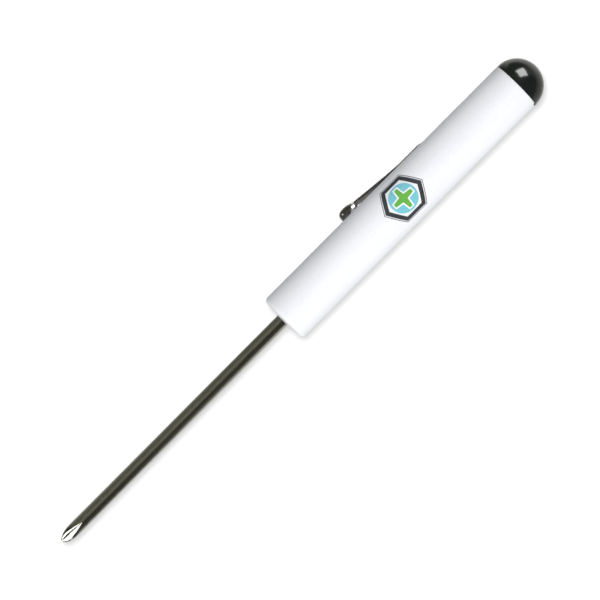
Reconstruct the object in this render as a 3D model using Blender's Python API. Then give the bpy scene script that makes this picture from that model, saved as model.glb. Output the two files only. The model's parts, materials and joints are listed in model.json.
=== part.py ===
"""Pocket screwdriver: a moulded barrel with a pocket clip, a domed button top and a pull-out blade.

The blade's axis is the X axis. X = 0 is the flat end of the Phillips tip, and +X runs to the button.
+Z is up, with the tool lying on its side: the barrel and the clip's ball both touch the table.
The blade is double-ended. Ears swaged out of its middle sit in a keyed insert inside the nose, so it
turns with the barrel, pulls out along -X and can be put back the other way round.
"""
import math

import bmesh
import bpy
from mathutils import Matrix, Vector

MM = 0.001

# Driving dimensions, in millimetres
BARREL_RADIUS = 6.15
BARREL_LENGTH = 75.2
NOSE_X = 70.9
BLADE_RADIUS = 1.6
GAP = 0.3
RIM_GAP = 0.2
CUT_MARGIN = 1.0
MERGE_DISTANCE = 1e-5

# Barrel
BARREL_SEGMENTS = 64
RIM_X = NOSE_X + BARREL_LENGTH
NOSE_WALL = 1.5
NOSE_HOLE_RADIUS = BLADE_RADIUS + GAP
NOSE_FLAT_RADIUS = 3.2
NOSE_CROWN = 0.25
NOSE_CORNER = 0.9
NOSE_CROWN_STEPS = 4
NOSE_CORNER_STEPS = 6
RIM_CORNER = 0.15
RIM_STEPS = 2
BORE_RADIUS = 4.15
POCKET_FLATS = 6.8
POCKET_END_X = 81.0
SNAP_X = RIM_X - 5.0
SNAP_HEIGHT = 0.25
SNAP_GROOVE_DEPTH = 0.3
SNAP_GROOVE_HALF_WIDTH = 0.8
SNAP_GROOVE_RAMP = 0.4
SNAP_RIDGE_HALF_WIDTH = 0.3
SNAP_RIDGE_OUTER_RAMP = 0.4
SNAP_RIDGE_INNER_RAMP = 0.6

# Blade
BLADE_SEGMENTS = 40
EAR_START_X = 71.6
EAR_LENGTH = 4.5
EAR_SPAN = 5.0
EAR_THICKNESS = 1.2
EAR_CHAMFER = 0.25
BLADE_LENGTH = 2 * EAR_START_X + EAR_LENGTH
POINT_FLAT_RADIUS = 0.42
POINT_LENGTH = 2.8
POINT_FULLNESS = 2.35
POINT_STEPS = 6
FLUTE_LENGTH = 6.4
FLUTE_CORE = 0.3
FLUTE_HALF_ANGLE = 55.0
FLUTE_TURN = 7.0
FLUTE_SKEW = 2.0
FLUTE_CUTTER_HEIGHT = 3.0
SLOT_TIP_THICKNESS = 0.6
SLOT_TAPER_LENGTH = 9.0
SLOT_TIP_CHAMFER = 0.2
SLOT_CUTTER_REACH = 3.0

# Drive insert and retaining ring
INSERT_FLATS = POCKET_FLATS - 2 * GAP
INSERT_START_X = NOSE_X + NOSE_WALL + GAP
INSERT_LENGTH = 8.0
EAR_SLOT_SPAN = EAR_SPAN + 2 * GAP
EAR_SLOT_THICKNESS = EAR_THICKNESS + 2 * GAP
EAR_SLOT_END_X = EAR_START_X + EAR_LENGTH + GAP
RING_WIDTH = 0.9
RING_THICKNESS = 0.5
RING_INNER_RADIUS = BLADE_RADIUS + GAP
RING_OUTER_RADIUS = RING_INNER_RADIUS + RING_THICKNESS
RING_X = 79.0
RING_MOUTH = 50.0
RING_SEGMENTS = 30

# Button top
SPIGOT_RADIUS = BORE_RADIUS - GAP
SPIGOT_LENGTH = 9.0
SPIGOT_CHAMFER = 0.4
BUTTON_BORE_RADIUS = 2.5
BUTTON_BORE_DEPTH = 3.2
BUTTON_BORE_CORNER = 0.8
DOME_STEPS = 14
BUTTON_START_X = RIM_X + RIM_GAP

# Pocket clip
CLIP_THICKNESS = 0.5
CLIP_ROOT_WIDTH = 4.2
CLIP_NECK_WIDTH = 1.5
CLIP_STEM_WIDTH = 1.2
CLIP_HINGE_X = 114.7
CLIP_NECK_X = 101.3
CLIP_ROOT_LENGTH = 7.2
CLIP_FLAT_RADIUS = 5.6
CLIP_FLAT_START_X = 110.4
CLIP_SEAT_RADIUS = CLIP_FLAT_RADIUS + GAP
CLIP_FLAT_END_X = CLIP_HINGE_X + CLIP_ROOT_LENGTH + GAP
CLIP_RISE = 0.16
CLIP_CURVE = 0.00165
CLIP_STATIONS = 7
# The foot's rounded end, as (distance from the end, loss of width)
CLIP_END_TAPER = ((1.0, 0.0), (0.3, 0.6), (0.0, 2.0))
NECK_DIP = 0.75
STEM_END = 0.8
BALL_RADIUS = 1.6
BALL_HALF_LENGTH = 1.93
BALL_SEGMENTS = 20
BALL_RINGS = 14
BALL_X = 98.5
BALL_OFFSET = BARREL_RADIUS + GAP + BALL_RADIUS

# Clip rivet
RIVET_X = 118.3
RIVET_SHANK_RADIUS = 0.8
RIVET_HEAD_RADIUS = 1.3
RIVET_HEAD_HEIGHT = 0.5
# The head's dome, as (share of its height, share of its radius)
RIVET_DOME = ((0.0, 1.0), (0.5, 0.9), (0.9, 0.5), (1.0, 0.0))
RIVET_TAIL_RADIUS = 1.15
RIVET_TAIL_HEIGHT = 0.45
RIVET_TAIL_TAPER = 0.2
RIVET_DRILL_START = 2.5
RIVET_DRILL_LENGTH = 4.5
RIVET_SEGMENTS = 24

# The clip's roll about the barrel at which its ball rests on the same table as the barrel
CLIP_ROLL = math.asin((BARREL_RADIUS - BALL_RADIUS) / BALL_OFFSET)

SMOOTH_ANGLE = math.radians(32)


def clear_scene():
    """Remove every object."""
    for scene_object in list(bpy.data.objects):
        bpy.data.objects.remove(scene_object, do_unlink=True)


def make_material(name, colour, roughness, metallic):
    """A Principled material of one colour."""
    material = bpy.data.materials.new(name)
    material.use_nodes = True
    shader = material.node_tree.nodes["Principled BSDF"]
    shader.inputs["Base Color"].default_value = (*colour, 1.0)
    shader.inputs["Roughness"].default_value = roughness
    shader.inputs["Metallic"].default_value = metallic
    return material


def make_object(name, bm, material=None, location=(0, 0, 0), parent=None):
    """Turn a bmesh in millimetres into an object in metres, shaded smooth up to a crease angle."""
    bmesh.ops.scale(bm, vec=(MM, MM, MM), verts=bm.verts)
    bmesh.ops.recalc_face_normals(bm, faces=bm.faces)
    mesh = bpy.data.meshes.new(name)
    bm.to_mesh(mesh)
    bm.free()
    mesh.shade_smooth()
    mesh.set_sharp_from_angle(angle=SMOOTH_ANGLE)
    made = bpy.data.objects.new(name, mesh)
    made.location = Vector(location) * MM
    made.parent = parent
    bpy.context.scene.collection.objects.link(made)
    if material is not None:
        mesh.materials.append(material)
    return made


def make_tool(name, bm, location=(0, 0, 0), parent=None):
    """A cutter or a joining shape: kept out of the model, shown as wire."""
    tool = make_object(name, bm, None, location, parent)
    tool.hide_render = True
    tool.display_type = "WIRE"
    return tool


def combine(target, tool, operation):
    """Cut or join a tool with an exact Boolean."""
    modifier = target.modifiers.new(tool.name, "BOOLEAN")
    modifier.object = tool
    modifier.operation = operation
    modifier.solver = "EXACT"


def arc(centre_x, centre_r, radius, start, end, steps):
    """Points of an arc in the turning plane, angles in degrees from +X towards +R."""
    points = []
    for step in range(steps + 1):
        angle = math.radians(start + (end - start) * step / steps)
        points.append((centre_x + radius * math.cos(angle), centre_r + radius * math.sin(angle)))
    return points


def turned(outline, segments, closed):
    """A solid turned about X from points (x, radius)."""
    bm = bmesh.new()
    verts = [bm.verts.new((x, 0.0, radius)) for x, radius in outline]
    pairs = list(zip(verts, verts[1:]))
    if closed:
        pairs.append((verts[-1], verts[0]))
    edges = [bm.edges.new(pair) for pair in pairs]
    bmesh.ops.spin(bm, geom=verts + edges, cent=(0, 0, 0), axis=(1, 0, 0),
                   angle=2 * math.pi, steps=segments, use_merge=True)
    bmesh.ops.remove_doubles(bm, verts=bm.verts, dist=MERGE_DISTANCE)
    return bm


def block(low, high):
    """A box between two corners."""
    bm = bmesh.new()
    bmesh.ops.create_cube(bm, size=1.0)
    low = Vector(low)
    high = Vector(high)
    for vert in bm.verts:
        vert.co = Vector(l + (c + 0.5) * (h - l) for l, h, c in zip(low, high, vert.co))
    return bm


def extruded(outline, start_x, end_x):
    """A prism along X from an outline of (y, z) points."""
    bm = bmesh.new()
    face = bm.faces.new([bm.verts.new((start_x, y, z)) for y, z in outline])
    grown = bmesh.ops.extrude_face_region(bm, geom=[face])
    moved = [item for item in grown["geom"] if isinstance(item, bmesh.types.BMVert)]
    bmesh.ops.translate(bm, verts=moved, vec=(end_x - start_x, 0, 0))
    return bm


def hexagon(flats):
    """Corners of a hexagon with the given distance across flats, with a corner on +Y."""
    radius = flats / math.sqrt(3)
    return [(radius * math.cos(math.radians(60 * k)), radius * math.sin(math.radians(60 * k)))
            for k in range(6)]


def make_clip_frame():
    """An empty on the barrel's axis, rolled so that its +Z points out through the clip."""
    frame = bpy.data.objects.new("clip_frame", None)
    frame.rotation_euler = (-(math.pi / 2 + CLIP_ROLL), 0, 0)
    bpy.context.scene.collection.objects.link(frame)
    return frame


def nose_outline():
    """The barrel's end from the hole to full radius: flat, a slight crown, then a rounded corner."""
    corner_x = NOSE_X + NOSE_CROWN + NOSE_CORNER
    corner_r = BARREL_RADIUS - NOSE_CORNER
    crown = []
    for step in range(1, NOSE_CROWN_STEPS):
        part = step / NOSE_CROWN_STEPS
        radius = NOSE_FLAT_RADIUS + part * (corner_r - NOSE_FLAT_RADIUS)
        crown.append((NOSE_X + NOSE_CROWN * part * part, radius))
    return ([(NOSE_X, NOSE_HOLE_RADIUS), (NOSE_X, NOSE_FLAT_RADIUS)] + crown
            + arc(corner_x, corner_r, NOSE_CORNER, 180, 90, NOSE_CORNER_STEPS))


def make_barrel(material, clip_frame):
    """The moulded tube with its closed nose, hex pocket, bore and the flat for the clip."""
    groove_radius = BORE_RADIUS + SNAP_GROOVE_DEPTH
    groove_mouth = SNAP_GROOVE_HALF_WIDTH + SNAP_GROOVE_RAMP
    outline = nose_outline()
    outline += arc(RIM_X - RIM_CORNER, BARREL_RADIUS - RIM_CORNER, RIM_CORNER, 90, 0, RIM_STEPS)
    outline += [
        (RIM_X, BORE_RADIUS + GAP),
        (RIM_X - GAP, BORE_RADIUS),
        (SNAP_X + groove_mouth, BORE_RADIUS),
        (SNAP_X + SNAP_GROOVE_HALF_WIDTH, groove_radius),
        (SNAP_X - SNAP_GROOVE_HALF_WIDTH, groove_radius),
        (SNAP_X - groove_mouth, BORE_RADIUS),
        (POCKET_END_X, BORE_RADIUS),
        (POCKET_END_X, NOSE_HOLE_RADIUS),
    ]
    barrel = make_object("barrel", turned(outline, BARREL_SEGMENTS, True), material)

    pocket = extruded(hexagon(POCKET_FLATS), NOSE_X + NOSE_WALL, POCKET_END_X + CUT_MARGIN)
    combine(barrel, make_tool("cut_hex_pocket", pocket), "DIFFERENCE")
    half_span = EAR_SLOT_SPAN / 2
    half_thick = EAR_SLOT_THICKNESS / 2
    keyway = block((NOSE_X - CUT_MARGIN, -half_span, -half_thick),
                   (INSERT_START_X, half_span, half_thick))
    combine(barrel, make_tool("cut_nose_keyway", keyway), "DIFFERENCE")
    flat = block((CLIP_FLAT_START_X, -BARREL_RADIUS, CLIP_FLAT_RADIUS),
                 (CLIP_FLAT_END_X, BARREL_RADIUS, BARREL_RADIUS + CUT_MARGIN))
    combine(barrel, make_tool("cut_clip_flat", flat, parent=clip_frame), "DIFFERENCE")
    combine(barrel, make_rivet_drill("cut_barrel_rivet_hole", clip_frame), "DIFFERENCE")
    return barrel


def make_rivet_drill(name, clip_frame):
    """A drill for the rivet's hole, through the clip and one wall of the barrel."""
    radius = RIVET_SHANK_RADIUS + GAP
    drill_outline = [(0, 0), (0, radius), (RIVET_DRILL_LENGTH, radius), (RIVET_DRILL_LENGTH, 0)]
    bm = turned(drill_outline, RIVET_SEGMENTS, False)
    stand_along_z(bm)
    return make_tool(name, bm, (RIVET_X, 0, CLIP_FLAT_RADIUS - RIVET_DRILL_START), clip_frame)


def stand_along_z(bm):
    """Turn a solid of revolution from X onto Z."""
    bmesh.ops.rotate(bm, cent=(0, 0, 0), matrix=Matrix.Rotation(-math.pi / 2, 3, "Y"), verts=bm.verts)


def flute_cutter(index):
    """A V-shaped wedge that runs out at the end of the flute, one for each side of the tip."""
    height = FLUTE_CUTTER_HEIGHT
    slope = (BLADE_RADIUS - FLUTE_CORE) / FLUTE_LENGTH
    half_width = height * math.tan(math.radians(FLUTE_HALF_ANGLE))
    bm = bmesh.new()
    ends = []
    for x in (-CUT_MARGIN, FLUTE_LENGTH + CUT_MARGIN):
        root = FLUTE_CORE + slope * x
        corners = [(x, 0, root), (x, half_width, root + height), (x, -half_width, root + height)]
        ends.append([bm.verts.new(corner) for corner in corners])
    bm.faces.new(ends[0])
    bm.faces.new(reversed(ends[1]))
    for k in range(3):
        after = (k + 1) % 3
        bm.faces.new((ends[0][k], ends[0][after], ends[1][after], ends[1][k]))
    skew = Matrix.Rotation(-math.radians(FLUTE_SKEW), 3, "Z")
    bmesh.ops.rotate(bm, cent=(FLUTE_LENGTH, 0, 0), matrix=skew, verts=bm.verts)
    turn = math.radians(90 * index + FLUTE_TURN)
    bmesh.ops.rotate(bm, cent=(0, 0, 0), matrix=Matrix.Rotation(turn, 3, "X"), verts=bm.verts)
    return make_tool("cut_flute_%d" % (index + 1), bm)


def flat_cutter(side):
    """A wedge that thins one side of the slotted end."""
    start_x = BLADE_LENGTH - SLOT_TAPER_LENGTH
    slope = (BLADE_RADIUS - SLOT_TIP_THICKNESS / 2) / SLOT_TAPER_LENGTH
    reach = SLOT_CUTTER_REACH
    bm = block((start_x, -reach, 0), (BLADE_LENGTH + CUT_MARGIN, reach, reach))
    for vert in bm.verts:
        vert.co.z += BLADE_RADIUS - slope * (vert.co.x - start_x)
        vert.co.z *= side
    return make_tool("cut_slotted_face_%s" % ("upper" if side > 0 else "lower"), bm)


def point_outline():
    """The rounded point of the blade, from its small flat end to full radius."""
    points = []
    for step in range(POINT_STEPS + 1):
        part = step / POINT_STEPS
        narrowing = (BLADE_RADIUS - POINT_FLAT_RADIUS) * (1 - part) ** POINT_FULLNESS
        points.append((POINT_LENGTH * part, BLADE_RADIUS - narrowing))
    return points


def make_blade(material):
    """The double-ended blade: Phillips end out, ears in the middle, slotted end inside the barrel."""
    outline = [(0, 0)] + point_outline()
    outline += [
        (BLADE_LENGTH - SLOT_TIP_CHAMFER, BLADE_RADIUS),
        (BLADE_LENGTH, BLADE_RADIUS - SLOT_TIP_CHAMFER),
        (BLADE_LENGTH, 0),
    ]
    blade = make_object("blade", turned(outline, BLADE_SEGMENTS, False), material)
    ears = block((EAR_START_X, -EAR_SPAN / 2, -EAR_THICKNESS / 2),
                 (EAR_START_X + EAR_LENGTH, EAR_SPAN / 2, EAR_THICKNESS / 2))
    bmesh.ops.bevel(ears, geom=ears.edges[:], offset=EAR_CHAMFER, segments=1, affect="EDGES")
    combine(blade, make_tool("join_ears", ears), "UNION")
    for index in range(4):
        combine(blade, flute_cutter(index), "DIFFERENCE")
    for side in (1, -1):
        combine(blade, flat_cutter(side), "DIFFERENCE")
    return blade


def make_drive_insert(material):
    """The hexagonal steel insert: a slot for the blade's ears and a groove for the ring."""
    end_x = INSERT_START_X + INSERT_LENGTH
    body = extruded(hexagon(INSERT_FLATS), INSERT_START_X, end_x)
    insert = make_object("drive_insert", body, material)
    hole = NOSE_HOLE_RADIUS
    groove = RING_OUTER_RADIUS + GAP
    outline = [
        (INSERT_START_X - CUT_MARGIN, 0),
        (INSERT_START_X - CUT_MARGIN, hole),
        (RING_X - GAP, hole),
        (RING_X - GAP, groove),
        (RING_X + RING_WIDTH + GAP, groove),
        (RING_X + RING_WIDTH + GAP, hole),
        (end_x + CUT_MARGIN, hole),
        (end_x + CUT_MARGIN, 0),
    ]
    combine(insert, make_tool("cut_insert_bore", turned(outline, BLADE_SEGMENTS, False)), "DIFFERENCE")
    half_span = EAR_SLOT_SPAN / 2
    half_thick = EAR_SLOT_THICKNESS / 2
    slot = block((INSERT_START_X - CUT_MARGIN, -half_span, -half_thick),
                 (EAR_SLOT_END_X, half_span, half_thick))
    combine(insert, make_tool("cut_insert_slot", slot), "DIFFERENCE")
    return insert


def make_retaining_ring(material):
    """A split spring ring round the blade, its mouth towards +Z."""
    bm = bmesh.new()
    section = [(RING_X, RING_INNER_RADIUS), (RING_X, RING_OUTER_RADIUS),
               (RING_X + RING_WIDTH, RING_OUTER_RADIUS), (RING_X + RING_WIDTH, RING_INNER_RADIUS)]
    start = math.radians(RING_MOUTH / 2)
    sweep = 2 * math.pi - 2 * start
    loops = []
    for step in range(RING_SEGMENTS + 1):
        angle = start + sweep * step / RING_SEGMENTS
        loops.append([bm.verts.new((x, r * math.sin(angle), r * math.cos(angle))) for x, r in section])
    skin(bm, loops)
    return make_object("retaining_ring", bm, material)


def skin(bm, loops):
    """Join loops of equal length into a closed solid with flat ends."""
    count = len(loops[0])
    for first, second in zip(loops, loops[1:]):
        for k in range(count):
            after = (k + 1) % count
            bm.faces.new((first[k], first[after], second[after], second[k]))
    bm.faces.new(loops[0])
    bm.faces.new(reversed(loops[-1]))


def make_button_top(material):
    """The domed end plug: a hemisphere on a hollow spigot that snaps into the barrel."""
    spigot_x = RIM_X - SPIGOT_LENGTH
    bore_end_x = BUTTON_START_X + BUTTON_BORE_DEPTH
    ridge_radius = SPIGOT_RADIUS + SNAP_HEIGHT
    outline = arc(BUTTON_START_X, 0, BARREL_RADIUS, 0, 90, DOME_STEPS)
    outline += [
        (BUTTON_START_X, SPIGOT_RADIUS),
        (SNAP_X + SNAP_RIDGE_HALF_WIDTH + SNAP_RIDGE_OUTER_RAMP, SPIGOT_RADIUS),
        (SNAP_X + SNAP_RIDGE_HALF_WIDTH, ridge_radius),
        (SNAP_X - SNAP_RIDGE_HALF_WIDTH, ridge_radius),
        (SNAP_X - SNAP_RIDGE_HALF_WIDTH - SNAP_RIDGE_INNER_RAMP, SPIGOT_RADIUS),
        (spigot_x + SPIGOT_CHAMFER, SPIGOT_RADIUS),
        (spigot_x, SPIGOT_RADIUS - SPIGOT_CHAMFER),
        (spigot_x, BUTTON_BORE_RADIUS),
        (bore_end_x - BUTTON_BORE_CORNER, BUTTON_BORE_RADIUS),
        (bore_end_x, BUTTON_BORE_RADIUS - BUTTON_BORE_CORNER),
        (bore_end_x, 0),
    ]
    outline[0] = (BUTTON_START_X + BARREL_RADIUS, 0.0)
    return make_object("button_top", turned(outline, BARREL_SEGMENTS, False), material)


def strip_loop(bm, x, inner, width, origin):
    """One rectangular cross-section of the clip's strip, relative to an origin (x, height)."""
    half = width / 2
    local_x = x - origin[0]
    low = inner - origin[1]
    high = low + CLIP_THICKNESS
    corners = [(local_x, -half, low), (local_x, half, low), (local_x, half, high), (local_x, -half, high)]
    return [bm.verts.new(corner) for corner in corners]


def make_clip_root(material, clip_frame):
    """The clip's foot: flat on the barrel's flat, under the rivet."""
    bm = bmesh.new()
    start_x = CLIP_HINGE_X + GAP / 2
    end_x = CLIP_HINGE_X + CLIP_ROOT_LENGTH
    middle = (start_x + end_x) / 2
    origin = (middle, CLIP_SEAT_RADIUS)
    loops = [strip_loop(bm, start_x, CLIP_SEAT_RADIUS, CLIP_ROOT_WIDTH, origin)]
    for from_end, loss in CLIP_END_TAPER:
        loops.append(strip_loop(bm, end_x - from_end, CLIP_SEAT_RADIUS, CLIP_ROOT_WIDTH - loss, origin))
    skin(bm, loops)
    root = make_object("clip_root", bm, material, (middle, 0, CLIP_SEAT_RADIUS), clip_frame)
    combine(root, make_rivet_drill("cut_clip_rivet_hole", clip_frame), "DIFFERENCE")
    return root


def make_clip_arm(material, clip_frame):
    """The clip's arm, rising from the hinge line, dipping at its neck and ending in a ball."""
    hinge = (CLIP_HINGE_X, CLIP_SEAT_RADIUS + CLIP_THICKNESS / 2)
    bm = bmesh.new()
    loops = []
    for step in range(CLIP_STATIONS + 1):
        part = step / CLIP_STATIONS
        x = CLIP_HINGE_X - GAP / 2 + part * (CLIP_NECK_X - CLIP_HINGE_X + GAP / 2)
        reach = CLIP_HINGE_X - x
        inner = CLIP_SEAT_RADIUS + CLIP_RISE * reach + CLIP_CURVE * reach * reach
        width = CLIP_ROOT_WIDTH + part * (CLIP_NECK_WIDTH - CLIP_ROOT_WIDTH)
        loops.append(strip_loop(bm, x, inner, width, hinge))
    neck_inner = BALL_OFFSET - CLIP_THICKNESS / 2
    loops.append(strip_loop(bm, CLIP_NECK_X - NECK_DIP, neck_inner, CLIP_STEM_WIDTH, hinge))
    loops.append(strip_loop(bm, BALL_X + STEM_END, neck_inner, CLIP_STEM_WIDTH, hinge))
    skin(bm, loops)
    arm = make_object("clip_arm", bm, material, (hinge[0], 0, hinge[1]), clip_frame)

    ball = bmesh.new()
    bmesh.ops.create_uvsphere(ball, u_segments=BALL_SEGMENTS, v_segments=BALL_RINGS, radius=BALL_RADIUS)
    bmesh.ops.scale(ball, vec=(BALL_HALF_LENGTH / BALL_RADIUS, 1, 1), verts=ball.verts)
    joined = make_tool("join_clip_ball", ball, (BALL_X, 0, BALL_OFFSET), clip_frame)
    combine(arm, joined, "UNION")
    return arm


def make_clip_rivet(material, clip_frame):
    """The rivet through the clip's foot and the barrel's wall, peened over inside the bore."""
    head_start = CLIP_SEAT_RADIUS + CLIP_THICKNESS + GAP
    tail_end = BORE_RADIUS - GAP
    tail_start = tail_end - RIVET_TAIL_HEIGHT
    outline = [
        (tail_start, 0),
        (tail_start, RIVET_TAIL_RADIUS - RIVET_TAIL_TAPER),
        (tail_end, RIVET_TAIL_RADIUS),
        (tail_end, RIVET_SHANK_RADIUS),
        (head_start, RIVET_SHANK_RADIUS),
    ]
    for height, width in RIVET_DOME:
        outline.append((head_start + RIVET_HEAD_HEIGHT * height, RIVET_HEAD_RADIUS * width))
    bm = turned(outline, RIVET_SEGMENTS, False)
    stand_along_z(bm)
    return make_object("clip_rivet", bm, material, (RIVET_X, 0, 0), clip_frame)


def main():
    clear_scene()
    white_plastic = make_material("white_plastic", (0.86, 0.88, 0.92), 0.32, 0.0)
    black_plastic = make_material("black_plastic", (0.015, 0.017, 0.02), 0.16, 0.0)
    nickel_steel = make_material("nickel_steel", (0.52, 0.51, 0.47), 0.16, 1.0)
    spring_steel = make_material("spring_steel", (0.26, 0.25, 0.24), 0.25, 1.0)
    insert_steel = make_material("insert_steel", (0.45, 0.45, 0.46), 0.35, 1.0)
    ring_steel = make_material("ring_steel", (0.35, 0.35, 0.36), 0.3, 1.0)
    rivet_steel = make_material("rivet_steel", (0.6, 0.6, 0.6), 0.25, 1.0)

    clip_frame = make_clip_frame()
    make_barrel(white_plastic, clip_frame)
    make_drive_insert(insert_steel)
    make_retaining_ring(ring_steel)
    make_button_top(black_plastic)
    make_clip_root(spring_steel, clip_frame)
    make_clip_arm(spring_steel, clip_frame)
    make_clip_rivet(rivet_steel, clip_frame)
    make_blade(nickel_steel)


main()
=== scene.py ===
"""Looks of the pocket screwdriver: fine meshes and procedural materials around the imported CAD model."""
import json
import math

import bmesh
import bpy
from mathutils import Matrix, Vector


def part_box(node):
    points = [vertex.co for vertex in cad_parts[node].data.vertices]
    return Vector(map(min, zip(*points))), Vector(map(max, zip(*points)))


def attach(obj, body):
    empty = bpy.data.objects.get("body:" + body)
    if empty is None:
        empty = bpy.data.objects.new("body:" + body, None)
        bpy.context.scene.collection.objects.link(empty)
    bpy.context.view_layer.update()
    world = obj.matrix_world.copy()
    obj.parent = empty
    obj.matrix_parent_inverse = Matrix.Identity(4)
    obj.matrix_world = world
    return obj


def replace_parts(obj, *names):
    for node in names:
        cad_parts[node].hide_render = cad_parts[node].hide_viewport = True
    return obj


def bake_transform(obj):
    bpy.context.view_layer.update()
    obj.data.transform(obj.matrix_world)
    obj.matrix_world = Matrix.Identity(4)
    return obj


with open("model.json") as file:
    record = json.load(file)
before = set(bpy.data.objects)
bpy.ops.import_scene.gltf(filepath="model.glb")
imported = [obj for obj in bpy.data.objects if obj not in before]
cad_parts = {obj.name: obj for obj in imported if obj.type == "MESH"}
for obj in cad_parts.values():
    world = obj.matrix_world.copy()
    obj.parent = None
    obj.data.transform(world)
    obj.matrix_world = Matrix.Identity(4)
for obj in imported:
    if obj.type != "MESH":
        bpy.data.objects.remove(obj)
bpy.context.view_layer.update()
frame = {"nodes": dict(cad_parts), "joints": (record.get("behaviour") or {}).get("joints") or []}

MM = 0.001

# Places and sizes read from the frame, in millimetres
barrel_low, barrel_high = (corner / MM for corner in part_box("barrel"))
blade_low, blade_high = (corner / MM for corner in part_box("blade"))
button_low, button_high = (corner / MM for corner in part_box("button_top"))
root_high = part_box("clip_root")[1] / MM
arm_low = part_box("clip_arm")[0] / MM
rivet_low, rivet_high = (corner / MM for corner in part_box("clip_rivet"))
insert_low, insert_high = (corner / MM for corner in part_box("drive_insert"))
flex = next(joint for joint in frame["joints"] if joint["name"] == "clip_flex")

NOSE_X = barrel_low.x
RIM_X = barrel_high.x
BARREL_R = barrel_high.z
DOME_X = button_high.x
SPIGOT_X = button_low.x
BLADE_LENGTH = blade_high.x
BLADE_R = blade_high.z
EAR_SPAN = blade_high.y - blade_low.y
RIVET_X = (rivet_low.x + rivet_high.x) / 2
HINGE = Vector(flex["pos_m"]) / MM
FLOOR_Z = barrel_low.z

# The clip's own directions: outwards from the barrel, and across the strip
CLIP_ACROSS = -Vector(flex["axis"]).normalized()
CLIP_OUT = CLIP_ACROSS.cross(Vector((1, 0, 0))).normalized()
CLIP_MID = HINGE.dot(CLIP_OUT)

# Detail sizes that the frame doesn't hold, in millimetres
CLEARANCE = 0.3             # gap between neighbours that touch on the real tool

# Barrel
ROUND_SEGMENTS = 192        # sides of the barrel and the dome
HOLE_R = 1.9                # hole in the nose that the blade runs in
BORE_R = 4.15
NOSE_CROWN = 0.25           # how far the nose's face bulges
NOSE_CORNER = 0.9           # radius of the nose's rounded edge
NOSE_WALL = 1.5
POCKET_FLATS = 6.8          # width across flats of the insert's hexagonal pocket
POCKET_END_X = insert_high.x + CLEARANCE
SKIN_EDGE = 0.12            # width of the soft edge of the flat under the clip
SPIGOT_R = 3.85

# Blade
FLUTE_TURN = math.radians(7)
FLUTE_SKEW = math.radians(-2)
FLUTE_LENGTH = 6.4
FLUTE_CORE = 0.3            # distance of a flute's root from the axis at the very end
FLUTE_HALF_ANGLE = math.radians(55)
FLUTE_ROOT_R = 0.03
SLOTTED_LENGTH = 9.0
SLOTTED_HALF_TIP = 0.3
EAR_HALF_LENGTH = 2.25
EAR_HALF_THICKNESS = 0.6

# Clip
CLIP_THICKNESS = 0.5
CLIP_ROOT_WIDTH = 4.2
CLIP_NECK_WIDTH = 1.5
CLIP_CORNER = 1.1           # radius of the foot's rounded end
CLIP_SLOPE = 0.16           # rise of the arm for each millimetre from its hinge
CLIP_BOW = 0.00165          # and for each square millimetre
CLIP_FLAT_R = CLIP_MID - CLIP_THICKNESS / 2 - CLEARANCE
CLIP_FLAT_START_X = HINGE.x - 4.3
CLIP_FLAT_END_X = root_high.x + CLEARANCE
BALL_R = 1.6
BALL_HALF_LENGTH = 1.93     # towards the blade
BALL_TAIL = 2.9             # towards the strip
BALL_POWER = 2.5            # 2 is an ellipse, larger is squarer
BALL_X = arm_low.x + BALL_HALF_LENGTH
BALL_OFFSET = BARREL_R + CLEARANCE + BALL_R
NECK_X = BALL_X + 2.8

# Rivet
RIVET_SHANK_R = 0.8
RIVET_HEAD_R = 1.3
RIVET_HEAD_HEIGHT = 0.78

# Printed mark
MARK_X = NOSE_X + 0.516 * (RIM_X - NOSE_X)
MARK_TURN = math.radians(90 - 1.5)
INK_FILM = 0.012            # height of one film over the barrel's skin
INK_STEP = 0.006            # how much higher each further film lies

collection = bpy.context.scene.collection


# ---------------------------------------------------------------- mesh helpers

def finish_mesh(name, bm, materials, crease=30):
    """A bmesh in millimetres becomes a smooth-shaded object in metres."""
    bmesh.ops.scale(bm, vec=(MM, MM, MM), verts=bm.verts)
    bmesh.ops.recalc_face_normals(bm, faces=bm.faces)
    mesh = bpy.data.meshes.new(name)
    bm.to_mesh(mesh)
    bm.free()
    for material in materials:
        mesh.materials.append(material)
    mesh.shade_smooth()
    mesh.set_sharp_from_angle(angle=math.radians(crease))
    made = bpy.data.objects.new(name, mesh)
    collection.objects.link(made)
    return made


def arc(centre_x, centre_r, radius, start, end, steps):
    """Points of an arc in the turning plane, angles in degrees from +X towards +R."""
    points = []
    for step in range(steps + 1):
        angle = math.radians(start + (end - start) * step / steps)
        points.append((centre_x + radius * math.cos(angle), centre_r + radius * math.sin(angle)))
    return points


def turned(outline, segments):
    """A solid turned about X from points (x, radius)."""
    bm = bmesh.new()
    verts = [bm.verts.new((x, 0.0, radius)) for x, radius in outline]
    edges = [bm.edges.new(pair) for pair in zip(verts, verts[1:])]
    bmesh.ops.spin(bm, geom=verts + edges, cent=(0, 0, 0), axis=(1, 0, 0),
                   angle=2 * math.pi, steps=segments, use_merge=True)
    bmesh.ops.remove_doubles(bm, verts=bm.verts, dist=1e-5)
    return bm


def skin(bm, loops, close_ends=True):
    """Join loops of equal length into a tube, with flat ends if asked."""
    count = len(loops[0])
    for first, second in zip(loops, loops[1:]):
        for k in range(count):
            after = (k + 1) % count
            bm.faces.new((first[k], first[after], second[after], second[k]))
    if close_ends:
        bm.faces.new(loops[0])
        bm.faces.new(reversed(loops[-1]))


def hexagon_points(radius):
    """The six corners of a flat hexagon."""
    return [(radius * math.cos(math.radians(60 * k)), radius * math.sin(math.radians(60 * k)))
            for k in range(6)]


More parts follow.
